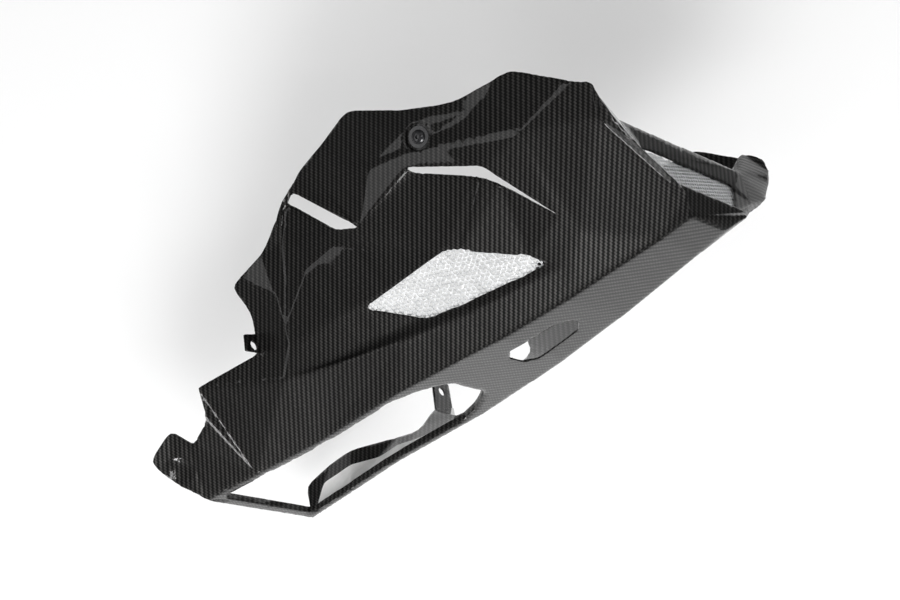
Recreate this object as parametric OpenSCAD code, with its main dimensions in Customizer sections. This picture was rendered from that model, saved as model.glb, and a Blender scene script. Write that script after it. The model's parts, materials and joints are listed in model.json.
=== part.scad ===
// Belly pan of a sports motorcycle: one moulded twill laminate shell with turned front frame,
// grilles of expanded metal, a heat foil and the screws of its two front fixings.
// +X points to the front wheel, +Y to the left side, +Z up. The pan stands on its flat bottom,
// and the origin is on that bottom, under the middle of the whole pan.

/* [Overall] */
// Length over the rear corners, before they are rounded, and the front frame
pan_l = 595; // [520:5:680]
// Width over the two side panels
pan_w = 316; // [280:2:350]
// Height from the flat bottom to the tip of the right fin, before it is rounded
pan_h = 228; // [200:2:260]
// Thickness of the laminate
wall = 2; // [1.6:0.1:3]
// Reach of the rounding at the corners of every outline
corner_r = 8; // [3:0.5:10]

/* [Fixings] */
// Bore of the two rear tabs
tab_bore = 8.5; // [6:0.5:10]
// Diameter of the dished seats at the front fixings
dish_d = 25; // [22:0.5:28]
// Depth of the dished seats
dish_depth = 3.5; // [2.5:0.5:4]
// Bore under each screw
screw_bore = 7.4; // [7:0.1:8.5]
// Outer diameter of the screws' thread
thread_d = 6; // [5:0.5:6]
// Diameter of the screw heads
head_d = 13; // [10:0.5:16]
// Height of the screw heads
head_h = 2.6; // [2:0.1:4]
// Length of the screws under the head
screw_l = 18; // [14:1:24]

/* [Openings] */
// Length of the drain slot in the bottom
slot_l = 73; // [50:1:90]
// Width of the drain slot
slot_w = 44; // [30:1:56]
// Width of the bottom rails beside the rear opening
rail_w = 9; // [7:0.5:14]
// Width of the bar behind the rear opening
bar_w = 10; // [8:0.5:16]
// Height of the lip turned up round the rear opening
lip_h = 7; // [4:0.5:10]

/* [Grilles] */
// Thickness of the grille sheets
sheet_t = 1.2; // [0.8:0.1:2]
// Cell width of the side grille
side_cell = 13; // [12:0.5:18]
// Cell width of the front grille
front_cell = 15; // [14:0.5:20]
// Width of the grille strands
strand = 2; // [1.5:0.1:3]

/* [Hidden] */
laminate = [0.09, 0.09, 0.1];
alloy = [0.78, 0.79, 0.8];
steel = [0.16, 0.16, 0.17];
foil_grey = [0.7, 0.7, 0.68];

// Corner points are [along, half width, up] on the reference outline below, then fitted to the sizes.
ref_l = 595;
ref_w = 316;
ref_h = 228;
function fit(p) = [p.x * pan_l / ref_l, p.y * pan_w / ref_w, p.z * pan_h / ref_h];
function right(p) = [p.x, -p.y, p.z];

// Lower edge of both side panels, rear to front
chine = [[-279, 77, 0], [-218, 71, 0], [-146, 63, 0], [-38, 66, 0], [30, 59, 0], [73, 53, 0],
         [147, 44, 4], [247, 33, 14], [282, 31, 19]];
// Front edge of both side panels, top to bottom
nose = [[291, 145, 120], [292, 143, 103], [292, 133, 88], [294, 107, 63], [295, 85, 50],
        [295, 60, 37], [297, 50, 30]];
// Inner edge of the front frame, top to bottom
frame = [[277, 129, 130], [281, 100, 99], [289, 84, 56], [294, 58, 38]];
beam_low = [279, 80, 80];
beam_back = [272, 99, 102];
lip_back = [284, 57, 41];
// Top edge of the right panel, rear to front
crest = [[-130, 134, 93], [-124, 140, 114], [-129, 151, 141], [-116, 152, 145], [-85, 151, 154],
         [-57, 151, 176], [-46, 152, 186], [-33, 153, 195], [-16, 154, 205], [17, 156, 214],
         [53, 157, 228], [108, 156, 196], [148, 155, 178], [163, 153, 174], [179, 152, 173],
         [201, 152, 171], [213, 152, 171], [224, 152, 169], [249, 151, 149], [278, 149, 125]];
// Crease under the upper band
waist = [[54, 155, 165], [66, 155, 168], [92, 154, 158], [133, 151, 144], [210, 146, 115],
         [279, 134, 92]];
// Sides of the slanted fold that carries the front fixing
fold_rear = [[101, 158, 173], [123, 157, 176]];
fold_front = [[143, 151, 157], [172, 150, 157], [192, 150, 163]];
// Upper and lower edge of the vent slit in the right panel
slit_up = [[91, 150, 147], [156, 138, 114], [160, 136, 110], [191, 88, 54], [197, 74, 41]];
slit_low = [[94, 143, 141], [143, 126, 114], [151, 124, 108], [159, 117, 99]];
// Groove over the lower strip, front to rear
groove = [[162, 63, 26], [99, 74, 26], [37, 85, 28], [-3, 95, 30], [-61, 112, 34], [-116, 126, 42]];
shelf = [[126, 71, 34], [65, 79, 37], [26, 86, 40], [-17, 95, 41], [-63, 108, 40]];
// Corners of the grille opening over the shelf, rear to front
mouth = [[-18, 115, 67], [79, 113, 75], [93, 107, 69], [143, 78, 43], [152, 68, 33]];
// Crease between the shelf and the recess over it, front to rear
ledge = [[-12, 118, 71], [-51, 123, 71], [-96, 132, 65]];
// Slit under the fin and the creases round it
fin_up = [[-33, 152, 191], [18, 147, 131], [21, 145, 125]];
fin_low = [[-45, 147, 186], [-7, 139, 139]];
shade = [[11, 155, 200], [2, 150, 172]];
ridge = [[-8, 137, 123], [-36, 138, 121], [-51, 139, 118]];
fin = [[-51, 148, 186], [-67, 144, 155], [-73, 142, 134], [-88, 143, 116], [-78, 140, 119],
       [-93, 137, 80]];
// Rear edge of the right panel, top to bottom
tail = [[-132, 133, 76], [-208, 138, 77], [-218, 125, 49], [-251, 113, 41], [-255, 118, 48],
        [-262, 128, 59], [-297, 126, 43], [-296, 104, 25]];
band = [288, 60, 39];
// Rear tabs in the plane across the pan, as [half width, up], and their common hole
tab_x = -130;
tab_hole = [tab_x, 142, 81];
right_tab = [[129, 74], [131, 95], [152, 91], [156, 73]];
left_tab = [[121, 54], [131, 92], [158, 92], [154, 72], [151, 58]];
// Point of the screw axis on the slanted fold
dish_at = [115, 154, 164];

// Top edge of the low left wall, rear to front
low_wall = [[-277, 79, 35], [-243, 82, 44], [-215, 84, 47], [-164, 96, 38], [-140, 100, 34],
            [-90, 93, 24], [-56, 88, 20]];
// Rear edge of the left panel, bottom to top
cut_back = [[5, 114, 53], [0, 120, 70], [22, 143, 150], [60, 155, 190]];
strap = [[-129, 120, 56], [-126, 150, 61]];
// Front end of the rear opening in the bottom
gate_end = [[-34, 46], [-20, 36], [-8, 25]];
slot_x = 51;

right_strip = [
    [tail[7], tail[6], tail[5], tail[4]], [chine[0], tail[7], tail[4], tail[3]],
    [chine[0], tail[3], chine[1]], [chine[1], tail[3], tail[2]],
    [chine[1], tail[2], tail[1], groove[5]], [tail[1], tail[0], groove[5]],
    [chine[1], groove[5], chine[2]], [chine[2], groove[5], groove[4]],
    [chine[2], groove[4], groove[3], chine[3]], [chine[3], groove[3], groove[2], chine[4]],
    [chine[4], groove[2], groove[1], chine[5]], [chine[5], groove[1], groove[0], chine[6]],
    [chine[6], groove[0], slit_up[4], chine[7]],
];
right_front = [
    [slit_up[4], slit_up[3], waist[4]], [slit_up[3], slit_up[2], waist[4]],
    [slit_up[4], waist[4], waist[5]], [chine[7], slit_up[4], waist[5], band],
    [waist[0], waist[1], waist[2], slit_up[0]], [slit_up[0], waist[2], waist[3], slit_up[1]],
    [slit_up[1], waist[3], waist[4], slit_up[2]],
];
right_upper = [
    [waist[1], fold_rear[0], fold_front[0], waist[2]],
    [waist[0], shade[0], waist[1]], [waist[1], shade[0], fold_rear[0]],
    [shade[0], crest[9], crest[10], fold_rear[0]],
    [fold_rear[0], crest[10], crest[11], fold_rear[1]], [waist[0], shade[1], shade[0]],
];
right_recess = [
    [shade[1], waist[0], fin_up[2]], [fin_up[2], waist[0], slit_up[0], slit_low[0], mouth[1]],
    [mouth[1], slit_low[0], slit_low[1]],
    [mouth[2], mouth[1], slit_low[1], slit_low[2], slit_low[3], mouth[3]],
    [mouth[3], slit_low[3], slit_up[3], slit_up[4], groove[0]],
    [ridge[0], fin_up[2], mouth[1], ledge[0]], [ridge[1], ridge[0], ledge[0], ledge[1]],
    [ridge[2], ridge[1], ledge[1], ledge[2]], [fin[5], ridge[2], ledge[2]],
    [fin[4], ridge[2], fin[5]], [fin[3], fin[4], fin[5]],
    [crest[0], crest[1], fin[3], fin[5]], [crest[0], fin[5], ledge[2], tail[0]],
    [tail[0], ledge[2], groove[5]],
];
right_shelf = [
    [ledge[0], mouth[1], mouth[0]], [ledge[1], ledge[0], mouth[0], shelf[3]],
    [mouth[0], shelf[2], shelf[3]], [ledge[1], shelf[3], shelf[4]],
    [ledge[2], ledge[1], shelf[4]], [ledge[2], shelf[4], groove[5]],
    [shelf[4], shelf[3], groove[3], groove[4]], [groove[5], shelf[4], groove[4]],
    [shelf[3], shelf[2], groove[2], groove[3]], [shelf[2], shelf[1], groove[2]],
    [shelf[1], groove[1], groove[2]], [shelf[1], shelf[0], groove[1]],
    [shelf[0], groove[0], groove[1]], [mouth[3], groove[0], mouth[4]],
    [mouth[4], groove[0], shelf[0]],
];
right_fin = [
    [fin_up[0], crest[7], crest[8]], [fin_up[0], crest[8], shade[0], shade[1]],
    [crest[8], crest[9], shade[0]], [fin_up[0], shade[1], fin_up[1]],
    [fin_up[1], shade[1], fin_up[2]], [fin_low[0], crest[6], crest[7], fin_up[0]],
    [fin[1], fin[0], fin_low[0], fin_low[1]], [fin[1], fin_low[1], ridge[1]],
    [fin[2], fin[1], ridge[1]], [fin[2], ridge[1], ridge[2]], [fin[4], fin[2], ridge[2]],
    [fin_low[1], fin_up[2], ridge[0]], [fin_low[1], ridge[0], ridge[1]],
    [fin[0], crest[6], fin_low[0]], [crest[5], crest[6], fin[0]], [crest[5], fin[0], fin[1]],
    [crest[4], crest[5], fin[1]], [crest[4], fin[1], fin[2], fin[3]],
    [crest[3], crest[4], fin[3]], [crest[2], crest[3], fin[3], crest[1]],
    [fin[3], fin[2], fin[4]],
];
left_panel = [
    [chine[0], low_wall[0], low_wall[1], chine[1]], [chine[1], low_wall[1], low_wall[2]],
    [chine[1], low_wall[2], low_wall[3], chine[2]], [chine[2], low_wall[3], low_wall[4]],
    [chine[2], low_wall[4], low_wall[5], chine[3]], [chine[3], low_wall[5], low_wall[6]],
    [chine[3], low_wall[6], chine[4]], [chine[4], low_wall[6], cut_back[0], chine[5]],
    [low_wall[5], low_wall[4], strap[0], strap[1]],
    [chine[5], cut_back[0], cut_back[1]], [chine[5], cut_back[1], waist[3]],
    [chine[5], waist[3], chine[6]], [cut_back[1], cut_back[2], waist[2], waist[3]],
    [chine[6], waist[3], waist[4], chine[7]], [chine[7], waist[4], waist[5], band],
    [waist[2], cut_back[2], cut_back[3], fold_rear[0]],
    [fold_rear[0], cut_back[3], crest[11], fold_rear[1]], [waist[2], fold_rear[0], fold_front[0]],
];
// Both sides alike: the slanted fold, the front corner, the rounded band and the front frame
both_front = [
    [waist[4], fold_front[0], fold_front[1]], [waist[4], fold_front[1], fold_front[2]],
    [waist[4], fold_front[2], crest[16], crest[17]], [waist[4], crest[17], crest[18]],
    [waist[4], crest[18], crest[19], waist[5]], [waist[3], fold_front[0], waist[4]],
    [waist[2], fold_front[0], waist[3]],
    [fold_rear[0], fold_rear[1], fold_front[1], fold_front[0]],
    [fold_rear[1], crest[12], crest[13], fold_front[1]],
    [fold_front[1], crest[13], crest[14], fold_front[2]],
    [fold_front[2], crest[14], crest[15], crest[16]], [fold_rear[1], crest[11], crest[12]],
    [waist[5], crest[19], nose[0], nose[1], nose[2]], [chine[7], band, nose[5], nose[6], chine[8]],
    [waist[5], nose[2], nose[3]], [waist[5], nose[3], nose[4], band], [band, nose[4], nose[5]],
    [nose[1], nose[0], frame[0]], [nose[1], frame[0], frame[1]], [nose[2], nose[1], frame[1]],
    [nose[3], nose[2], frame[1], frame[2]], [nose[4], nose[3], frame[2]],
    [nose[5], nose[4], frame[2], frame[3]], [frame[3], frame[2], lip_back],
    [frame[2], beam_low, lip_back], [frame[2], frame[1], beam_low],
    [frame[1], frame[0], beam_back],
];

function reversed(list) = [for (i = [len(list) - 1:-1:0]) list[i]];
function on_right(faces) = [for (f = faces) [for (p = f) right(fit(p))]];
function on_left(faces) =
    [for (f = faces) concat([fit(f[0])], reversed([for (i = [1:len(f) - 1]) fit(f[i])]))];
// A strip of faces across the pan, between two points of the right side and their mirror images
function across(a, b) = [right(fit(a)), right(fit(b)), fit(b), fit(a)];
bottom_faces = [for (i = [0:len(chine) - 2]) across(chine[i], chine[i + 1])];
cross_faces = [
    concat([for (p = [chine[8], nose[6], nose[5], frame[3]]) right(fit(p))],
           [for (p = [frame[3], nose[5], nose[6], chine[8]]) fit(p)]),
    reversed(across(lip_back, frame[3])), across(beam_low, frame[1]), reversed(across(beam_back, frame[1])),
];
net = concat(on_right(right_strip), on_right(right_front), on_right(right_upper),
             on_right(right_recess), on_right(right_shelf), on_right(right_fin),
             on_right(both_front), on_left(left_panel), on_left(both_front),
             bottom_faces, cross_faces);

function sum(v, i = 0) = i == len(v) - 1 ? v[i] : v[i] + sum(v, i + 1);
function unit(v) = v / norm(v);
function mix(a, b, t) = a + (b - a) * t;

// The shift that moves a corner in by 1 from every face round it, from those faces' normals
soft = 0.03;
function shift_of(ns) =
    let (mean = unit(sum(ns)), row = function(k) sum([for (n = ns) n * n[k]]) +
             soft * [for (j = [0:2]) j == k ? 1 : 0],
         goal = sum(ns) + soft * mean, a = row(0), b = row(1), c = row(2))
    [goal * cross(b, c), a * cross(goal, c), a * cross(b, goal)] / (a * cross(b, c));

// A net of flat faces becomes a wall between two depths behind it, with rim faces at free edges.
// Outline corners are rounded: each free edge gets a point near both ends, and its corners move in,
// apart from the ends of folds, where the shift is longer than this.
fold_shift = 1.15;
module skin(net, from, to, round_r) {
    flat_faces = [for (f = net) for (i = [1:len(f) - 2]) [f[0], f[i], f[i + 1]]];
    all = [for (f = flat_faces) each f];
    corners = [for (i = [0:len(all) - 1])
                   if (len([for (j = [0:1:i - 1]) if (all[j] == all[i]) j]) == 0) all[i]];
    faces = [for (f = flat_faces) [for (p = f) [for (i = [0:len(corners) - 1]) if (corners[i] == p) i][0]]];
    normals = [for (f = flat_faces) -unit(cross(f[1] - f[0], f[2] - f[0]))];
    n = len(corners);
    shifts = [for (v = [0:n - 1])
                  shift_of([for (i = [0:len(faces) - 1]) if (len(search(v, faces[i])) > 0) normals[i]])];
    edges = [for (f = faces) for (i = [0:2]) [f[i], f[(i + 1) % 3]]];
    free = [for (e = edges) if (len([for (o = edges) if (o[0] == e[1] && o[1] == e[0]) 1]) == 0) e];
    lengths = [for (e = free) norm(corners[e[1]] - corners[e[0]])];
    reach = [for (l = lengths) min(round_r, l / 3)];
    function way(k, end) =
        unit(corners[free[k][1 - end]] - corners[free[k][end]]) * reach[k];
    moved = [for (v = [0:n - 1])
                 let (k = [for (i = [0:len(free) - 1]) if (free[i][0] == v) i],
                      j = [for (i = [0:len(free) - 1]) if (free[i][1] == v) i])
                 len(k) == 1 && len(j) == 1 && norm(shifts[v]) < fold_shift ?
                     corners[v] + (way(k[0], 0) + way(j[0], 1)) / 4 : corners[v]];
    points = concat(moved, [for (k = [0:len(free) - 1]) for (end = [0, 1])
                                corners[free[k][end]] + way(k, end)]);
    depths = concat(shifts, [for (k = [0:len(free) - 1]) for (end = [0, 1])
                                 mix(shifts[free[k][end]], shifts[free[k][1 - end]], reach[k] / lengths[k])]);
    // The free edge between two corners, or -1
    function free_at(a, b) = let (k = [for (i = [0:len(free) - 1]) if (free[i] == [a, b]) i])
        len(k) > 0 ? k[0] : -1;
    // A triangle with one or two free edges is split round the points on them
    function split(a, b, c) = let (k = free_at(a, b), j = free_at(b, c), m = free_at(c, a))
        k < 0 && j < 0 && m < 0 ? [[a, b, c]] :
        k < 0 || m >= 0 ? split(b, c, a) :
        j < 0 ? let (s = n + 2 * k) [[c, a, s], [c, s, s + 1], [c, s + 1, b]] :
        let (s = n + 2 * k, t = n + 2 * j)
            [[s + 1, b, t], [s + 1, t, t + 1], [s + 1, t + 1, c], [s + 1, c, s], [c, a, s]];
    top = [for (f = faces) each split(f[0], f[1], f[2])];
    rim = [for (k = [0:len(free) - 1]) let (row = [free[k][0], n + 2 * k, n + 2 * k + 1, free[k][1]])
               for (i = [0:2]) [row[i], row[i + 1]]];
    size = len(points);
    polyhedron(concat([for (v = [0:size - 1]) points[v] - depths[v] * from],
                      [for (v = [0:size - 1]) points[v] - depths[v] * to]),
               concat(top, [for (f = top) [for (i = reversed(f)) i + size]],
                      [for (e = rim) [e[1], e[0], e[0] + size]],
                      [for (e = rim) [e[1], e[0] + size, e[1] + size]]));
}

// Outlines: corners moved out sideways by d, and corners rounded over a length r
function turned(v) = [v.y, -v.x];
function grown(pts, d) = let (n = len(pts))
    [for (i = [0:n - 1])
        let (a = unit(turned(pts[i] - pts[(i + n - 1) % n])), b = unit(turned(pts[(i + 1) % n] - pts[i])))
        pts[i] + d * (a + b) / (1 + a * b)];
function rounded(pts, r) = let (n = len(pts))
    [for (i = [0:n - 1]) let (p = pts[i], a = pts[(i + n - 1) % n], b = pts[(i + 1) % n],
                              s = p + unit(a - p) * min(r, norm(a - p) / 2.1),
                              e = p + unit(b - p) * min(r, norm(b - p) / 2.1))
        for (t = [0:0.25:1]) mix(mix(s, p, t), mix(p, e, t), t)];
function both(side) = concat([for (p = side) [p.x, -p.y]], reversed(side));
function in_plan(pts) = [for (p = pts) let (q = fit([p.x, p.y, 0])) [q.x, q.y]];

// A flat piece of the net as a working plane: origin a, x along a-b, z into the pan
function pose(a, b, c) =
    let (x = unit(b - a), z = unit(cross(b - a, c - a)), y = cross(z, x))
    [[x.x, y.x, z.x, a.x], [x.y, y.y, z.y, a.y], [x.z, y.z, z.z, a.z], [0, 0, 0, 1]];
function flat(m, p) = let (q = p - [m[0][3], m[1][3], m[2][3]])
    [q * [m[0][0], m[1][0], m[2][0]], q * [m[0][1], m[1][1], m[2][1]]];

bar_side = mix(chine[0], chine[1], bar_w / (chine[1].x - chine[0].x));
gate_waist = [-60, 65];
gate_side = concat([for (p = [bar_side, chine[1], chine[2], gate_waist]) [p.x, p.y - rail_w]], gate_end);
gate_round = 9;
gate = in_plan(both(gate_side));
// Four corners of half the drain slot, as shares of its length and width
slot_shape = [[0, 0.22], [0.14, 0.5], [0.85, 0.39], [1, 0.09]];
slot_round = 2;
drain = in_plan(both([for (s = slot_shape) [slot_x + s.x * slot_l, s.y * slot_w]]));

right_seat = pose(right(fit(waist[2])), right(fit(fold_rear[1])), right(fit(fold_front[0])));
left_seat = pose(fit(waist[2]), fit(fold_front[0]), fit(fold_rear[1]));
// The cup behind a dish starts inside the laminate
cup_in = 0.3;
washer_t = 0.8;
washer_d = dish_d - 5;
// The screws have a plain shoulder through the washer and the laminate, then a thread
shoulder_play = 0.4;
shoulder_d = screw_bore - shoulder_play;
shoulder_l = 4;
// Cutters stand this much past the laminate
past = 10;

// Everything round the screw axes is drawn in the plane of its dish
module at_seats() {
    for (s = [[right_seat, right(fit(dish_at))], [left_seat, fit(dish_at)]])
        multmatrix(s[0]) translate(flat(s[0], s[1])) children();
}
module tab_plate(outline, side) {
    multmatrix([[0, 0, 1, fit(tab_hole).x], [side, 0, 0, 0], [0, 1, 0, 0], [0, 0, 0, 1]])
        linear_extrude(wall) polygon([for (p = outline) let (q = fit([0, p.x, p.y])) [q.y, q.z]]);
}
module shell() {
    color(laminate) difference() {
        union() {
            skin(net, 0, wall, corner_r);
            tab_plate(right_tab, -1);
            tab_plate(left_tab, 1);
            linear_extrude(lip_h) polygon(rounded(grown(gate, wall), gate_round));
            at_seats() translate([0, 0, cup_in])
                cylinder(d = dish_d + 2 * wall, h = dish_depth + wall - cup_in);
        }
        translate([0, 0, -past]) {
            linear_extrude(lip_h + 2 * past) polygon(rounded(gate, gate_round));
            linear_extrude(wall + 2 * past) polygon(rounded(drain, slot_round));
        }
        at_seats() translate([0, 0, -past]) {
            cylinder(d = dish_d, h = past + dish_depth);
            cylinder(d = screw_bore, h = dish_depth + 2 * past);
        }
        for (side = [-1, 1])
            translate([fit(tab_hole).x - past, side * fit(tab_hole).y, fit(tab_hole).z])
                rotate([0, 90, 0]) cylinder(d = tab_bore, h = wall + 2 * past);
    }
}

// Expanded metal: a sheet with staggered diamond holes where a whole hole fits inside the mouth
cell_ratio = 0.6;
edge_ratio = 0.45;
most_cells = 30;
function inside(p, pts, d) = min([for (i = [0:len(pts) - 1])
    let (a = pts[i], b = pts[(i + 1) % len(pts)]) unit(turned(a - b)) * (p - a)]) > d;
module expanded(mouth, margin, cell) {
    short = cell * cell_ratio;
    linear_extrude(sheet_t) difference() {
        polygon(grown(mouth, margin));
        for (i = [-most_cells:most_cells], j = [-most_cells:most_cells]) {
            p = [(i + (abs(j) % 2) / 2) * cell, j * short / 2];
            if (inside(p, mouth, short * edge_ratio))
                translate(p) polygon([[strand - cell, 0] / 2, [0, strand - short] / 2,
                                      [cell - strand, 0] / 2, [0, short - strand] / 2]);
        }
    }
}
sheet_gap = 0.9;
side_margin = 1.2;
front_margin = 1.5;
side_mouth = [for (p = concat(mouth, [for (i = [0:2]) shelf[i]])) right(fit(p))];
side_plane = pose(side_mouth[0], side_mouth[1], side_mouth[7]);
module side_grille() {
    color(alloy) multmatrix(side_plane) translate([0, 0, wall + sheet_gap])
        expanded([for (p = side_mouth) flat(side_plane, p)], side_margin, side_cell);
}
front_mouth = [right(fit(lip_back)), right(fit(beam_low)), fit(beam_low), fit(lip_back)];
front_plane = pose(front_mouth[0], front_mouth[1], front_mouth[2]);
module front_grille() {
    color(alloy) multmatrix(front_plane) translate([0, 0, wall + sheet_gap])
        expanded([for (p = front_mouth) flat(front_plane, p)], front_margin, front_cell);
}

// Heat foil on the inside of the low left wall, between two lines over the chine, with the wall's folds
foil_t = 0.4;
foil_r = 4;
foil_gap = 0.4;
foil_low = 0.16;
foil_high = 0.62;
foil_rear = 0.1;
// A corner of the net on the inner side of the laminate
function inner(p) = let (q = fit(p))
    q - wall * shift_of([for (f = net) for (i = [1:len(f) - 2])
        if (f[0] == q || f[i] == q || f[i + 1] == q) -unit(cross(f[i] - f[0], f[i + 1] - f[0]))]);
foil_folds = [[1, 1], [1, 2], [1, 3], [2, 3], [2, 4], [2, 5], [3, 5]];
foil_lines = concat(
    [[mix(inner(chine[0]), inner(chine[1]), foil_rear), inner(low_wall[1])]],
    [for (f = foil_folds) [inner(chine[f[0]]), inner(low_wall[f[1]])]]);
foil_net = [for (i = [0:len(foil_lines) - 2]) let (a = foil_lines[i], b = foil_lines[i + 1])
    [mix(a[0], a[1], foil_low), mix(b[0], b[1], foil_low),
     mix(b[0], b[1], foil_high), mix(a[0], a[1], foil_high)]];
module heat_foil() {
    color(foil_grey) skin(foil_net, foil_gap, foil_gap + foil_t, foil_r);
}

module screws() {
    color(steel) at_seats() translate([0, 0, dish_depth - washer_t]) {
        rotate_extrude($fn = 48) polygon([[0, 0], [0, -head_h], [head_d * 0.28, -head_h],
            [head_d * 0.42, -head_h * 0.75], [head_d / 2, -head_h * 0.3], [head_d / 2, 0]]);
        cylinder(d = shoulder_d, h = shoulder_l, $fn = 32);
        translate([0, 0, shoulder_l]) cylinder(d = thread_d, h = screw_l - shoulder_l, $fn = 32);
    }
}
module washers() {
    color(steel) at_seats() translate([0, 0, dish_depth - washer_t]) difference() {
        cylinder(d = washer_d, h = washer_t, $fn = 48);
        translate([0, 0, -past]) cylinder(d = screw_bore, h = washer_t + 2 * past, $fn = 32);
    }
}

shell();
side_grille();
front_grille();
heat_foil();
screws();
washers();
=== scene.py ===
import json
import math
import bpy
import bmesh
from mathutils import Matrix, Vector
from mathutils.bvhtree import BVHTree


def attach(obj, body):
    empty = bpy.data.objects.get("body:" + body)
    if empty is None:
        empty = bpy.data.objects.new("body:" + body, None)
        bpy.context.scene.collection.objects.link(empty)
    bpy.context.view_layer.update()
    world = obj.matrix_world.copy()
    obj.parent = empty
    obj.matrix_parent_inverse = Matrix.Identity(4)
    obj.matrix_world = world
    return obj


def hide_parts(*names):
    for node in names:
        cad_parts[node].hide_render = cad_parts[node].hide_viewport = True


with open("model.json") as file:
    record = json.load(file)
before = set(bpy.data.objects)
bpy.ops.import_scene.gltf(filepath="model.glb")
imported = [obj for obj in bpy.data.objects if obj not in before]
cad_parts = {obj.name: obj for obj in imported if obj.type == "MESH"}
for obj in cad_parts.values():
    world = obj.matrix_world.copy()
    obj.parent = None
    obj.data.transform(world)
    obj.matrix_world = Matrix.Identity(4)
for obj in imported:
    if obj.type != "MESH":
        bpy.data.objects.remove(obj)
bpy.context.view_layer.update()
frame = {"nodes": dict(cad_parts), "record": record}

mm = 0.001
nodes = frame["nodes"]
scene = bpy.context.scene
scene.view_settings.view_transform = "Standard"


def deselectAll():
    if bpy.context.object and bpy.context.object.mode != "OBJECT":
        bpy.ops.object.mode_set(mode="OBJECT")
    bpy.ops.object.select_all(action="DESELECT")


def makeActive(piece):
    deselectAll()
    piece.select_set(True)
    bpy.context.view_layer.objects.active = piece
    return piece


# shader maths: an expression on sockets adds its nodes
class Signal:
    def __init__(self, tree, socket=None):
        self.tree = tree
        self.socket = socket

    def put(self, target, value):
        if isinstance(value, Signal):
            self.tree.links.new(value.socket, target)
        else:
            target.default_value = value

    def node(self, kind, settings=None, inputs=None, output=0):
        made = self.tree.nodes.new(kind)
        for name, value in (settings or {}).items():
            setattr(made, name, value)
        for name, value in (inputs or {}).items():
            self.put(made.inputs[name], value)
        return Signal(self.tree, made.outputs[output])

    def math(self, operation, *values):
        settings = {"operation": operation}
        return self.node("ShaderNodeMath", settings, dict(enumerate(values)))

    def __add__(self, other):
        return self.math("ADD", self, other)

    def __radd__(self, other):
        return self.math("ADD", other, self)

    def __sub__(self, other):
        return self.math("SUBTRACT", self, other)

    def __rsub__(self, other):
        return self.math("SUBTRACT", other, self)

    def __mul__(self, other):
        return self.math("MULTIPLY", self, other)

    def __rmul__(self, other):
        return self.math("MULTIPLY", other, self)

    def __mod__(self, other):
        return self.math("FLOORED_MODULO", self, other)

    def __lt__(self, other):
        return self.math("LESS_THAN", self, other)

    def __abs__(self):
        return self.math("ABSOLUTE", self)

    def floor(self):
        return self.math("FLOOR", self)

    def smooth(self, low, high):
        settings = {"interpolation_type": "SMOOTHSTEP"}
        return self.node("ShaderNodeMapRange", settings, {"Value": self, 1: low, 2: high})

    def parts(self):
        split = self.tree.nodes.new("ShaderNodeSeparateXYZ")
        self.tree.links.new(self.socket, split.inputs[0])
        return [Signal(self.tree, out) for out in split.outputs]

    # dark and light colours mixed by this value
    def blend(self, dark, light):
        settings = {"data_type": "RGBA"}
        return self.node("ShaderNodeMix", settings, {0: self, 6: dark, 7: light}, 2)

    def noise(self, place, scale, detail=2.0):
        inputs = {"Vector": place, "Scale": scale, "Detail": detail}
        return self.node("ShaderNodeTexNoise", None, inputs)

    # bumps whose height is this value, in metres
    def bump(self, height, strength=1.0):
        inputs = {"Height": self, "Distance": height, "Strength": strength}
        return self.node("ShaderNodeBump", None, inputs)


def startMaterial(name, **fixed):
    material = bpy.data.materials.new(name)
    material.use_nodes = True
    tree = material.node_tree
    surface = tree.nodes["Principled BSDF"]
    for socket, value in fixed.items():
        surface.inputs[socket.replace("_", " ")].default_value = value
    return material, Signal(tree), surface


def objectPlace(start):
    return start.node("ShaderNodeTexCoord", None, None, "Object")


def grey(tone, warmth=1.0):
    return (tone * warmth, tone, tone / warmth, 1)


def dress(piece, *materials):
    piece.data.materials.clear()
    for material in materials:
        piece.data.materials.append(material)


# camera at the photograph's angle: it looks at the flat bottom and the right side
cameraLook = {
    "place": (1.06902, -1.71785, -0.83305),
    "right": (0.74670, 0.60836, -0.26895),
    "up": (0.46038, -0.18086, 0.86910),
    "back": (0.48008, -0.77278, -0.41513),
    "sensor": 36,
    "lens": 94.0,
    "nearest": 0.05,
    "farthest": 50,
}
right = Vector(cameraLook["right"])
up = Vector(cameraLook["up"])
back = Vector(cameraLook["back"])
middle = Vector((0.0, 0.0, 90 * mm))


def makeCamera():
    bpy.ops.object.camera_add()
    camera = bpy.context.object
    camera.name = "studioCamera"
    axes = Matrix([right, up, back]).transposed().to_4x4()
    camera.matrix_world = Matrix.Translation(cameraLook["place"]) @ axes
    camera.data.sensor_width = cameraLook["sensor"]
    camera.data.lens = cameraLook["lens"]
    camera.data.clip_start = cameraLook["nearest"]
    camera.data.clip_end = cameraLook["farthest"]
    scene.camera = camera


# a turn whose Z axis is the given direction, for lamps, the backdrop and the sockets
def turnTo(direction, top):
    z = Vector(direction).normalized()
    x = Vector(top).cross(z).normalized()
    return Matrix([x, z.cross(x), z]).transposed().to_4x4()


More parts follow.
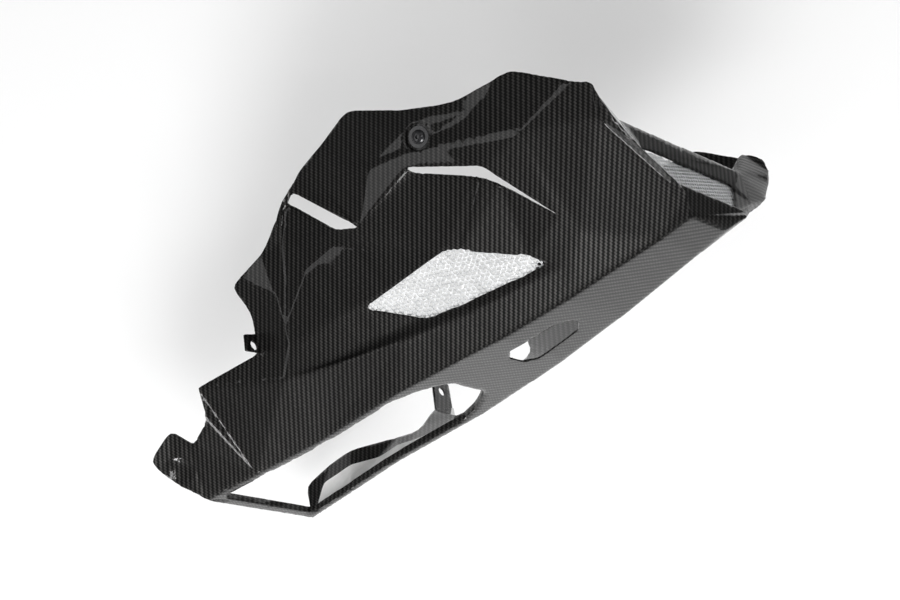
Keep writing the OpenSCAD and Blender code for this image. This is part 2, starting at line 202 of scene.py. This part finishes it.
studioLook = {
    "backdropBehind": 0.23,
    "backdropRight": (-1.6, 0.64),  # from left to right, and from bottom to top
    "backdropUp": (-1.6, 1.0),
    "backdropTone": 0.62,
    "backdropGlow": 0.26,       # for the camera and for reflections alone
    "world": 0.12,              # what lights the object, and the camera sees it at full strength
    # place to the right, up and back from the middle in metres, width, height, watts, mirrored
    "lamps": {
        "softLamp": ((-0.6, -1.4, 1.9), 2.4, 2.4, 54, False),
        "frontLamp": ((1.6, 0.7, 1.1), 1.6, 1.6, 19, False),
        "lowLamp": ((0.05, -1.35, 1.86), 0.9, 0.9, 34, True),
        "leftCard": ((-1.98, 0.0, 1.17), 0.36, 1.44, 3.0, True),
        "glintLamp": ((-0.3, 0.5, 2.3), 0.3, 0.3, 4, True),
        "foldLamp": ((-0.68, -1.88, -0.10), 0.22, 0.34, 5.5, True),
    },
}


def makeBackdrop():
    deselectAll()
    bpy.ops.mesh.primitive_plane_add(size=1)
    backdrop = bpy.context.object
    backdrop.name = "backdrop"
    left, most = studioLook["backdropRight"]
    low, high = studioLook["backdropUp"]
    centre = Matrix.Translation(((left + most) / 2, (low + high) / 2, 0))
    backdrop.data.transform(centre @ Matrix.Diagonal((most - left, high - low, 1, 1)))
    place = middle - back * studioLook["backdropBehind"]
    backdrop.data.transform(Matrix.Translation(place) @ turnTo(back, up))
    # paper on the front, and clear from behind so that the other views see past it
    material = bpy.data.materials.new("backdropPaper")
    material.use_nodes = True
    tree = material.node_tree
    tree.nodes.clear()
    start = Signal(tree)
    paperTone = {"Color": grey(studioLook["backdropTone"])}
    diffuse = start.node("ShaderNodeBsdfDiffuse", None, paperTone)
    seen = start.node("ShaderNodeLightPath", None, None, "Is Camera Ray")
    mirrored = start.node("ShaderNodeLightPath", None, None, "Is Glossy Ray")
    strength = (seen + mirrored) * studioLook["backdropGlow"]
    glow = start.node("ShaderNodeEmission", None, {"Strength": strength})
    paper = start.node("ShaderNodeAddShader", None, {0: diffuse, 1: glow})
    clear = start.node("ShaderNodeBsdfTransparent")
    behind = start.node("ShaderNodeNewGeometry", None, None, "Backfacing")
    result = start.node("ShaderNodeMixShader", None, {0: behind, 1: paper, 2: clear})
    output = tree.nodes.new("ShaderNodeOutputMaterial")
    tree.links.new(result.socket, output.inputs["Surface"])
    dress(backdrop, material)


def makeLamps():
    for name, (offset, width, height, watts, mirrored) in studioLook["lamps"].items():
        direction = right * offset[0] + up * offset[1] + back * offset[2]
        bpy.ops.object.light_add(type="AREA")
        lamp = bpy.context.object
        lamp.name = name
        lamp.matrix_world = Matrix.Translation(middle + direction) @ turnTo(direction, up)
        lamp.data.shape = "RECTANGLE"
        lamp.data.size = width
        lamp.data.size_y = height
        lamp.data.energy = watts
        lamp.visible_glossy = mirrored


def makeWorld():
    world = bpy.data.worlds.new("studioWorld")
    scene.world = world
    world.use_nodes = True
    tree = world.node_tree
    tree.nodes.clear()
    start = Signal(tree)
    seen = start.node("ShaderNodeLightPath", None, None, "Is Camera Ray")
    strength = seen * (1 - studioLook["world"]) + studioLook["world"]
    glow = start.node("ShaderNodeBackground", None, {"Strength": strength})
    output = tree.nodes.new("ShaderNodeOutputWorld")
    tree.links.new(glow.socket, output.inputs["Surface"])


makeCamera()
makeBackdrop()
makeLamps()
makeWorld()
print("camera and studio set")

# 2x2 twill: tows of two directions cross at right angles, and each passes over two and under two
weaveLook = {
    "tow": 2.0 * mm,
    "light": 0.055,             # painted sheen: tows that face the light, and those across them
    "dark": 0.003,
    "relief": 0.12 * mm,
    "grain": 0.25,              # how much single tows differ
    "ends": 0.6,                # how far a tow sinks where it dives under the next ones
    "crownHighlight": (0.4, 0.6),        # tone of an upper tow at its sides, darker as painted shade, and the painted highlight its crown adds
    "lower": 0.1,               # tone of a lower tow's crown, kept dark as painted sheen
}


# returns the twill's tone from 0 to 1, which holds painted sheen and painted shade, and its height
# from 0 to 1
def twill(start):
    u, v = start.node("ShaderNodeUVMap", {"uv_map": "weave"}).parts()[:2]
    scale = math.sqrt(0.5) / weaveLook["tow"]
    a = (u + v) * scale
    b = (u - v) * scale
    row = a.floor()
    column = b.floor()
    over = ((row + column) % 4.0) < 2.0
    under = 1 - over
    across = (a - row) * over + (b - column) * under
    along = ((row + b) % 4.0 - 1) * over + ((column + a) % 4.0 - 3) * under
    side = across * 2 - 1
    height = (1 - side * side) * (1 - along * along * weaveLook["ends"])
    # each tow has a tone of its own
    towNumber = row * over + column * under * 1.37
    single = start.node("ShaderNodeTexWhiteNoise", {"noise_dimensions": "1D"}, {"W": towNumber})
    grain = 1 - weaveLook["grain"] + single * weaveLook["grain"]
    shadedSides, crownHighlight = weaveLook["crownHighlight"]
    # painted sheen and shade: upper tows lighter than lower ones, each upper tow lighter at its
    # crown and darker at its sides
    tone = over * grain * (height * crownHighlight + shadedSides) + under * (height * weaveLook["lower"])
    return tone, height


# clear resin over the weave, on the moulded side
glossLook = {
    "warmth": 1.03,
    "roughness": (0.5, 0.12),   # in the gaps, and how much smoother a tow's crown is
    "bump": 0.5,
}


def makeGlossLaminate():
    material, start, surface = startMaterial("glossLaminate", Coat_Weight=1.0, Coat_Roughness=0.04,
                                             Coat_IOR=1.3, IOR=1.2, Metallic=0.6)
    tone, height = twill(start)
    light = grey(weaveLook["light"], glossLook["warmth"])
    rough, smoother = glossLook["roughness"]
    # the base colour carries the twill's painted sheen and painted shade
    start.put(surface.inputs["Base Color"], tone.blend(grey(weaveLook["dark"]), light))
    start.put(surface.inputs["Roughness"], rough - tone * smoother)
    start.put(surface.inputs["Normal"], height.bump(weaveLook["relief"], glossLook["bump"]))
    return material


# the dry inside: resin lies thicker in some places, and there it is smoother and darker
rawLook = {
    "resinScale": 60.0,
    "resinFrom": (0.42, 0.66),
    "speckScale": 420.0,
    "specksFrom": (0.60, 0.72),
    "weave": (0.5, 0.3),        # strength of the weave, and how much resin hides of it
    "specks": 0.10,
    "dark": 0.004,
    "light": 0.036,
    "roughness": (0.62, 0.22),  # dry, and how much smoother under resin
    "filled": 0.5,              # how much of the relief resin fills
    "speckRelief": 0.6,
    "bump": 0.9,
}


def makeRawLaminate():
    material, start, surface = startMaterial("rawLaminate", IOR=1.07)
    tone, height = twill(start)
    place = objectPlace(start)
    resin = start.noise(place, rawLook["resinScale"], 3.0).smooth(*rawLook["resinFrom"])
    specks = start.noise(place, rawLook["speckScale"], 2.0).smooth(*rawLook["specksFrom"])
    strength, hidden = rawLook["weave"]
    # the twill's painted sheen and painted shade, weakened where resin lies thick; the resin and
    # specks are the laminate's own
    shade = tone * (strength - resin * hidden) + specks * rawLook["specks"]
    colour = shade.blend(grey(rawLook["dark"]), grey(rawLook["light"]))
    rough, smoother = rawLook["roughness"]
    relief = height * (1 - resin * rawLook["filled"]) + specks * rawLook["speckRelief"]
    start.put(surface.inputs["Base Color"], colour)
    start.put(surface.inputs["Roughness"], rough - resin * smoother)
    start.put(surface.inputs["Normal"], relief.bump(weaveLook["relief"], rawLook["bump"]))
    return material


# the shell: the CAD wall, divided finely and smoothed so that its folds are moulded curves
shellLook = {
    "wall": 2.0 * mm,
    "mergeWithin": 0.01 * mm,
    "edge": 5.0 * mm,           # longest edge after the wall is divided
    "dividings": 10,            # at most
    "flatter": 2,               # degrees between triangles that may be redrawn
    "smoothing": 2,
    "smoothAngle": 50,
    "dishRadius": 13.2 * mm,    # the dishes keep their turned form
    "tabPlace": -129 * mm,      # plane of the rear tabs, and where they start at each side
    "tabStart": 119 * mm,
    "tabWithin": 1.2 * mm,
    "dishReach": 17 * mm,
    "backed": (0.68, 1.8),      # with this depth, in walls, a face has the wall behind it
    "rimWidth": 1.4,            # a narrower face is a rim, in walls
    "rimAngle": 35,
    "bottomNormal": 0.97,
    "bottomBelow": 45 * mm,
    "frontNormal": 0.55,
    "frontFrom": 200 * mm,      # the front frame's wings have a weave of their own
    "frontOut": 95 * mm,
    # directions across and along the stripes: sides, bottom, wings, rims
    "weaveWays": (((0.98, 0.80, -0.35), (0.35, -0.18, 0.95)),
                  ((0.85, -0.53, 0.0), (0.53, 0.85, 0.0)),
                  ((0.0, 0.48, 0.88), (0.0, 0.88, -0.48)),
                  ((0.98, 0.80, -0.35), (0.35, -0.18, 0.95))),
    "dimple": (-282 * mm, -105.5 * mm, 29.5 * mm),
    "dimpleWay": (-0.137, 0.718, 0.682),
    "dimpleRadius": 14 * mm,
    "dimpleDepth": 3.4 * mm,
    "dimpleSteps": 6,
    "dimpleFiner": 1.3,         # made finer and smoothed within this many radii
    "dimpleSmoother": 1.2,
}


def copyOfNode(nodeName, pieceName):
    piece = bpy.data.objects.new(pieceName, nodes[nodeName].data.copy())
    scene.collection.objects.link(piece)
    makeActive(piece)
    bpy.ops.mesh.customdata_custom_splitnormals_clear()
    bpy.ops.object.mode_set(mode="EDIT")
    bpy.ops.mesh.select_all(action="SELECT")
    bpy.ops.mesh.remove_doubles(threshold=shellLook["mergeWithin"])
    bpy.ops.object.mode_set(mode="OBJECT")
    return piece


# zones of the weave, kept as material numbers while the wall is divided
zones = {"side": 0, "bottom": 1, "front": 2, "rim": 3}


def zoneOf(face):
    place = face.calc_center_median()
    low = place.z < shellLook["bottomBelow"]
    if abs(face.normal.z) > shellLook["bottomNormal"] and low:
        return zones["bottom"]
    wing = place.x > shellLook["frontFrom"] and abs(place.y) > shellLook["frontOut"]
    if abs(face.normal.x) > shellLook["frontNormal"] and wing:
        return zones["front"]
    return zones["side"]


def onTab(v):
    inPlane = abs(v.co.x - shellLook["tabPlace"]) < shellLook["tabWithin"]
    return inPlane and abs(v.co.y) > shellLook["tabStart"]


# the gloss side is what is reached from the flat bottom without passing over a rim
def markLayers(piece, seats):
    bm = bmesh.new()
    bm.from_mesh(piece.data)
    tree = BVHTree.FromBMesh(bm)
    wall = shellLook["wall"]
    thinnest, thickest = shellLook["backed"]
    depth, narrow, tabs = {}, {}, set()
    for face in bm.faces:
        start = face.calc_center_median() - face.normal * shellLook["mergeWithin"]
        found = tree.ray_cast(start, -face.normal, 1.0)[3]
        depth[face] = 1.0 if found is None else found
        narrow[face] = 2 * face.calc_area() / max(edge.calc_length() for edge in face.edges)
        if all(onTab(v) for v in face.verts):
            tabs.add(face)

    def passes(edge, a, b):
        place = b.calc_center_median()
        if b in tabs or depth[b] < thinnest * wall:
            return False
        if min((place - seat).length for seat in seats) < shellLook["dishReach"]:
            return depth[b] < thickest * wall
        sharp = a.normal.angle(b.normal) > math.radians(shellLook["rimAngle"])
        slim = min(narrow[a], narrow[b]) < shellLook["rimWidth"] * wall
        return not (sharp and edge.is_convex and slim)

    down = [face for face in bm.faces if face.normal.z < -0.99]
    flat = [face for face in down if face.calc_center_median().z < 0.1 * mm]
    queue = [max(flat, key=lambda face: face.calc_area())]
    gloss = set(queue)
    while queue:
        face = queue.pop()
        for edge in face.edges:
            for other in edge.link_faces:
                if other not in gloss and passes(edge, face, other):
                    gloss.add(other)
                    queue.append(other)
    for face in bm.faces:
        backed = thinnest * wall <= depth[face] < thickest * wall
        slim = narrow[face] < shellLook["rimWidth"] * wall
        rim = face not in gloss and not backed and slim
        raw = face not in gloss and face not in tabs and not rim
        face.material_index = 2 * (zones["rim"] if rim else zoneOf(face)) + int(raw)
    area = sum(face.calc_area() for face in gloss) / mm / mm
    print("gloss side", len(gloss), "faces,", round(area), "square mm")
    bm.to_mesh(piece.data)
    bm.free()


def selectLongEdges(piece, longest):
    bm = bmesh.from_edit_mesh(piece.data)
    found = 0
    for edge in bm.edges:
        edge.select = edge.calc_length() > longest
        found += edge.select
    bm.select_flush_mode()
    bmesh.update_edit_mesh(piece.data)
    return found


def divideWall(piece, longest):
    bpy.ops.object.mode_set(mode="EDIT")
    bpy.context.tool_settings.mesh_select_mode = (False, True, False)
    for dividing in range(shellLook["dividings"]):
        bpy.ops.mesh.select_all(action="DESELECT")
        if not selectLongEdges(piece, longest):
            break
        bpy.ops.mesh.subdivide(number_cuts=1, ngon=False)
        bpy.ops.mesh.select_all(action="SELECT")
        bpy.ops.mesh.quads_convert_to_tris(quad_method="SHORTEST_DIAGONAL")
        bpy.ops.mesh.beautify_fill(angle_limit=math.radians(shellLook["flatter"]))
    bpy.ops.object.mode_set(mode="OBJECT")


def selectWithin(piece, centre, radius):
    bpy.ops.mesh.select_all(action="DESELECT")
    bm = bmesh.from_edit_mesh(piece.data)
    for v in bm.verts:
        v.select = (v.co - centre).length < radius
    bm.select_flush_mode()
    bmesh.update_edit_mesh(piece.data)


# a shallow round dimple is pressed in ring by ring, the widest ring first
def pressDimple(piece):
    centre = Vector(shellLook["dimple"])
    radius = shellLook["dimpleRadius"]
    steps = shellLook["dimpleSteps"]
    step = Vector(shellLook["dimpleWay"]) * (shellLook["dimpleDepth"] / steps)
    bpy.ops.object.mode_set(mode="EDIT")
    bpy.context.tool_settings.mesh_select_mode = (True, False, False)
    selectWithin(piece, centre, shellLook["dimpleFiner"] * radius)
    bpy.ops.mesh.subdivide(number_cuts=2)
    for ring in range(steps):
        selectWithin(piece, centre, radius * math.sqrt(1 - ring / steps))
        bpy.ops.transform.translate(value=step)
    selectWithin(piece, centre, shellLook["dimpleSmoother"] * radius)
    bpy.ops.mesh.vertices_smooth(factor=0.5, repeat=6)
    bpy.ops.object.mode_set(mode="OBJECT")


# all but the rims and the dishes
def selectSkin(piece, seats):
    bm = bmesh.from_edit_mesh(piece.data)
    for v in bm.verts:
        onRim = any(face.material_index // 2 == zones["rim"] for face in v.link_faces)
        inDish = min((v.co - seat).length for seat in seats) < shellLook["dishRadius"]
        v.select = not onRim and not inDish
    bm.select_flush_mode()
    bmesh.update_edit_mesh(piece.data)


# the skin is rounded first, then the whole wall a little, so that the rims lose their edge too
def smoothWall(piece, seats, rounds):
    bpy.ops.object.mode_set(mode="EDIT")
    bpy.ops.mesh.select_all(action="DESELECT")
    selectSkin(piece, seats)
    bpy.ops.mesh.vertices_smooth(factor=0.5, repeat=rounds)
    bpy.ops.mesh.select_all(action="SELECT")
    bpy.ops.mesh.vertices_smooth(factor=0.3, repeat=1)
    bpy.ops.object.mode_set(mode="OBJECT")
    bpy.ops.object.shade_smooth_by_angle(angle=math.radians(shellLook["smoothAngle"]))


# weave coordinates by zone; then the material numbers keep only gloss and raw
def layWeave(piece):
    layer = piece.data.uv_layers.new(name="weave")
    points = [v.co for v in piece.data.vertices]
    for face in piece.data.polygons:
        ways = shellLook["weaveWays"][face.material_index // 2]
        for corner in face.loop_indices:
            place = points[piece.data.loops[corner].vertex_index]
            layer.data[corner].uv = [place.dot(way) for way in ways]
        face.material_index %= 2


def makeShell():
    shell = copyOfNode("shell", "panShell")
    washers = [v.co for v in nodes["washers"].data.vertices]
    seats = [sum(side, Vector()) / len(side)
             for side in ([p for p in washers if p.y < 0], [p for p in washers if p.y > 0])]
    markLayers(shell, seats)
    divideWall(shell, shellLook["edge"])
    smoothWall(shell, seats, shellLook["smoothing"])
    pressDimple(shell)
    layWeave(shell)
    dress(shell, makeGlossLaminate(), makeRawLaminate())
    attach(shell, "root")
    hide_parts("shell")
    print("shell made,", len(shell.data.polygons), "faces")


makeShell()

# grilles: thin sheets of small six-sided cells in place of the coarse ones
grilleLook = {
    "cell": 4.3 * mm,
    "strand": 1.25 * mm,
    "sheet": 0.8 * mm,
    "stretch": 1.12,            # the cells are a little longer than wide
    "spare": 4,                 # rows and columns past the outline, which trims them
    "joinWithin": 0.05 * mm,    # cells of a row, and then all rows
    "mergeWithin": 0.1 * mm,
    "sideTone": 0.68,
    # painted light: the front grille is the same metal as the side one, painted lighter to make up
    # for the lamp light it lacks
    "frontPaintedLightTone": 0.88,
    "patches": 0.06,            # lighter and darker patches
    "patchScale": 90.0,
    "roughness": (0.34, 0.14),
    "pitScale": 900.0,
    "pits": 0.05 * mm,
}


def makeGrilleMetal(name, tone):
    material, start, surface = startMaterial(name, Metallic=0.25)
    place = objectPlace(start)
    patches = start.noise(place, grilleLook["patchScale"]).smooth(0.3, 0.7)
    differ = grilleLook["patches"]
    colour = patches.blend(grey(tone - differ, 0.99), grey(tone + differ, 0.99))
    smooth, rougher = grilleLook["roughness"]
    pits = start.noise(place, grilleLook["pitScale"])
    start.put(surface.inputs["Base Color"], colour)
    start.put(surface.inputs["Roughness"], smooth + patches * rougher)
    start.put(surface.inputs["Normal"], pits.bump(grilleLook["pits"], 0.4))
    return material


# the plane of a sheet: its middle, and axes along it, across it and out of it
def planeOf(piece):
    faces = sorted(piece.data.polygons, key=lambda face: -face.area)
    out = faces[0].normal.copy()
    points = [v.co for v in piece.data.vertices]
    centre = sum(points, Vector()) / len(points)
    flat = [p - out * (p - centre).dot(out) for p in points]
    far = max(flat, key=lambda p: (p - centre).length)
    along = (far - centre).normalized()
    length = max(abs((p - centre).dot(along)) for p in points)
    across = out.cross(along)
    width = max(abs((p - centre).dot(across)) for p in points)
    axes = Matrix([along, across, out]).transposed().to_4x4()
    return Matrix.Translation(centre) @ axes, length, width


def addArray(piece, count, step):
    array = piece.modifiers.new("rows", "ARRAY")
    array.use_relative_offset = False
    array.use_constant_offset = True
    array.constant_offset_displace = step
    array.count = count
    array.use_merge_vertices = True
    array.merge_threshold = grilleLook["joinWithin"]
    bpy.ops.object.modifier_apply(modifier=array.name)


def makeGrille(nodeName, pieceName, metal):
    outline = copyOfNode(nodeName, pieceName + "Outline")
    place, length, width = planeOf(outline)
    bpy.ops.object.mode_set(mode="EDIT")
    bpy.ops.mesh.select_all(action="SELECT")
    bpy.ops.mesh.convex_hull()
    bpy.ops.object.mode_set(mode="OBJECT")

    # one cell, then a second one beside and above it, then rows of both
    cell = grilleLook["cell"]
    rise = cell * math.sqrt(3) / 2
    deselectAll()
    bpy.ops.mesh.primitive_circle_add(vertices=6, radius=cell / math.sqrt(3), fill_type="NGON")
    sheet = bpy.context.object
    sheet.name = pieceName
    bpy.ops.object.mode_set(mode="EDIT")
    bpy.ops.transform.rotate(value=math.radians(30), orient_axis="Z", center_override=(0, 0, 0))
    bpy.ops.mesh.inset(thickness=grilleLook["strand"] / 2)
    bpy.ops.mesh.delete(type="FACE")
    bpy.ops.mesh.select_all(action="SELECT")
    bpy.ops.mesh.duplicate_move(TRANSFORM_OT_translate={"value": (cell / 2, rise, 0)})
    bpy.ops.object.mode_set(mode="OBJECT")
    stretch = grilleLook["stretch"]
    columns = int(2 * length / (cell * stretch)) + grilleLook["spare"]
    rows = int(width / rise) + grilleLook["spare"]
    addArray(sheet, columns, (cell, 0, 0))
    addArray(sheet, rows, (0, 2 * rise, 0))
    shift = Matrix.Translation((-columns * cell * stretch / 2, -rows * rise, 0))
    sheet.data.transform(place @ shift @ Matrix.Diagonal((stretch, 1, 1, 1)))
    bpy.ops.object.mode_set(mode="EDIT")
    bpy.ops.mesh.select_all(action="SELECT")
    bpy.ops.mesh.remove_doubles(threshold=grilleLook["mergeWithin"])
    bpy.ops.mesh.normals_make_consistent(inside=False)
    bpy.ops.object.mode_set(mode="OBJECT")
    solid = sheet.modifiers.new("thickness", "SOLIDIFY")
    solid.thickness = grilleLook["sheet"]
    solid.offset = 0
    bpy.ops.object.modifier_apply(modifier=solid.name)
    trim = sheet.modifiers.new("trim", "BOOLEAN")
    trim.operation = "INTERSECT"
    trim.solver = "EXACT"
    trim.object = outline
    bpy.ops.object.modifier_apply(modifier=trim.name)
    bpy.data.objects.remove(outline)
    sheet.data.validate()       # drops what the cut left as faces that aren't valid
    dress(sheet, metal)
    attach(sheet, "root")
    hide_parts(nodeName)
    print(pieceName, "made,", len(sheet.data.polygons), "faces")


makeGrille("side_grille", "sideMesh", makeGrilleMetal("sideMetal", grilleLook["sideTone"]))
# the front grille's lighter tone is painted light
makeGrille("front_grille", "frontMesh", makeGrilleMetal("frontMetalPaintedLighter", grilleLook["frontPaintedLightTone"]))

# screws with a hexagon socket; thread turns show on the shank
screwLook = {
    "socket": 4.0 * mm,         # width across the flats
    "socketDepth": 1.8 * mm,
    "smoothAngle": 35,
    "pitch": 1.0 * mm,
    "threadRelief": 0.25 * mm,
    "shankWithin": 149 * mm,    # from the pan's middle, where the heads start
    "dark": (0.022, 0.022, 0.024, 1),
    "worn": (0.05, 0.05, 0.053, 1),
    "wearScale": 500.0,
    "roughness": (0.36, 0.14),
    "pitScale": 1500.0,
}


def mountNamed(name):
    return [mount for mount in frame["record"]["mounts"] if mount["name"] == name][0]


def makeFixingSteel(name, threaded):
    material, start, surface = startMaterial(name, Metallic=0.7, Coat_Weight=0.8, Coat_Roughness=0.1)
    place = objectPlace(start)
    wear = start.noise(place, screwLook["wearScale"]).smooth(0.35, 0.7)
    colour = wear.blend(screwLook["dark"], screwLook["worn"])
    smooth, rougher = screwLook["roughness"]
    start.put(surface.inputs["Base Color"], colour)
    start.put(surface.inputs["Roughness"], smooth + wear * rougher)
    relief = start.noise(place, screwLook["pitScale"]) * 0.1
    if threaded:
        axis = Vector(mountNamed("right_screw")["axis"]) / screwLook["pitch"]
        x, y, z = place.parts()
        out = abs(y)            # both screws lean alike, so the width counts without its sign
        turns = x * axis.x - out * axis.y + z * axis.z
        slope = (turns % 1.0) * 2 - 1
        relief = relief + (1 - abs(slope)) * (out < screwLook["shankWithin"])
    start.put(surface.inputs["Normal"], relief.bump(screwLook["threadRelief"], 0.8))
    return material


def makeScrews():
    screws = copyOfNode("screws", "panScrews")
    dress(screws, makeFixingSteel("screwSteel", True))
    for name in ("right_screw", "left_screw"):
        axis = Vector(mountNamed(name)["axis"])
        centre = Vector(mountNamed(name)["pos_m"])
        points = [v.co for v in screws.data.vertices if v.co.y * centre.y > 0]
        head = min(points, key=lambda p: p.dot(axis))
        top = centre + axis * (head - centre).dot(axis)
        deselectAll()
        bpy.ops.mesh.primitive_cylinder_add(vertices=6, radius=screwLook["socket"] / math.sqrt(3),
                                            depth=2 * screwLook["socketDepth"])
        tool = bpy.context.object
        tool.data.transform(Matrix.Translation(top) @ turnTo(axis, (0, 0, 1)))
        makeActive(screws)
        cut = screws.modifiers.new("socket", "BOOLEAN")
        cut.operation = "DIFFERENCE"
        cut.solver = "EXACT"
        cut.object = tool
        bpy.ops.object.modifier_apply(modifier=cut.name)
        bpy.data.objects.remove(tool)
    bpy.ops.object.shade_smooth_by_angle(angle=math.radians(screwLook["smoothAngle"]))
    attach(screws, "root")
    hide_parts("screws")
    print("screws made")


makeScrews()
dress(nodes["washers"], makeFixingSteel("washerSteel", False))

# heat foil: creased by hand where it was pressed on
foilLook = {
    "dark": (0.76, 0.76, 0.75, 1),
    "light": (0.90, 0.90, 0.89, 1),
    "dentScale": 140.0,
    "creaseScale": 90.0,
    "creaseWidth": 0.12,
    "creaseShare": 0.3,         # of the relief
    "roughness": (0.24, 0.2),
    "relief": 0.4 * mm,
}


def makeFoilMetal():
    material, start, surface = startMaterial("foilMetal", Metallic=0.1)
    place = objectPlace(start)
    creases = start.node("ShaderNodeTexVoronoi", {"feature": "DISTANCE_TO_EDGE"},
                         {"Vector": place, "Scale": foilLook["creaseScale"]})
    dents = start.noise(place, foilLook["dentScale"], 3.0)
    smooth, rougher = foilLook["roughness"]
    start.put(surface.inputs["Base Color"], dents.blend(foilLook["dark"], foilLook["light"]))
    start.put(surface.inputs["Roughness"], smooth + dents * rougher)
    relief = dents + creases.smooth(0.0, foilLook["creaseWidth"]) * foilLook["creaseShare"]
    start.put(surface.inputs["Normal"], relief.bump(foilLook["relief"], 0.6))
    return material


dress(nodes["heat_foil"], makeFoilMetal())
print("foil and washers dressed")
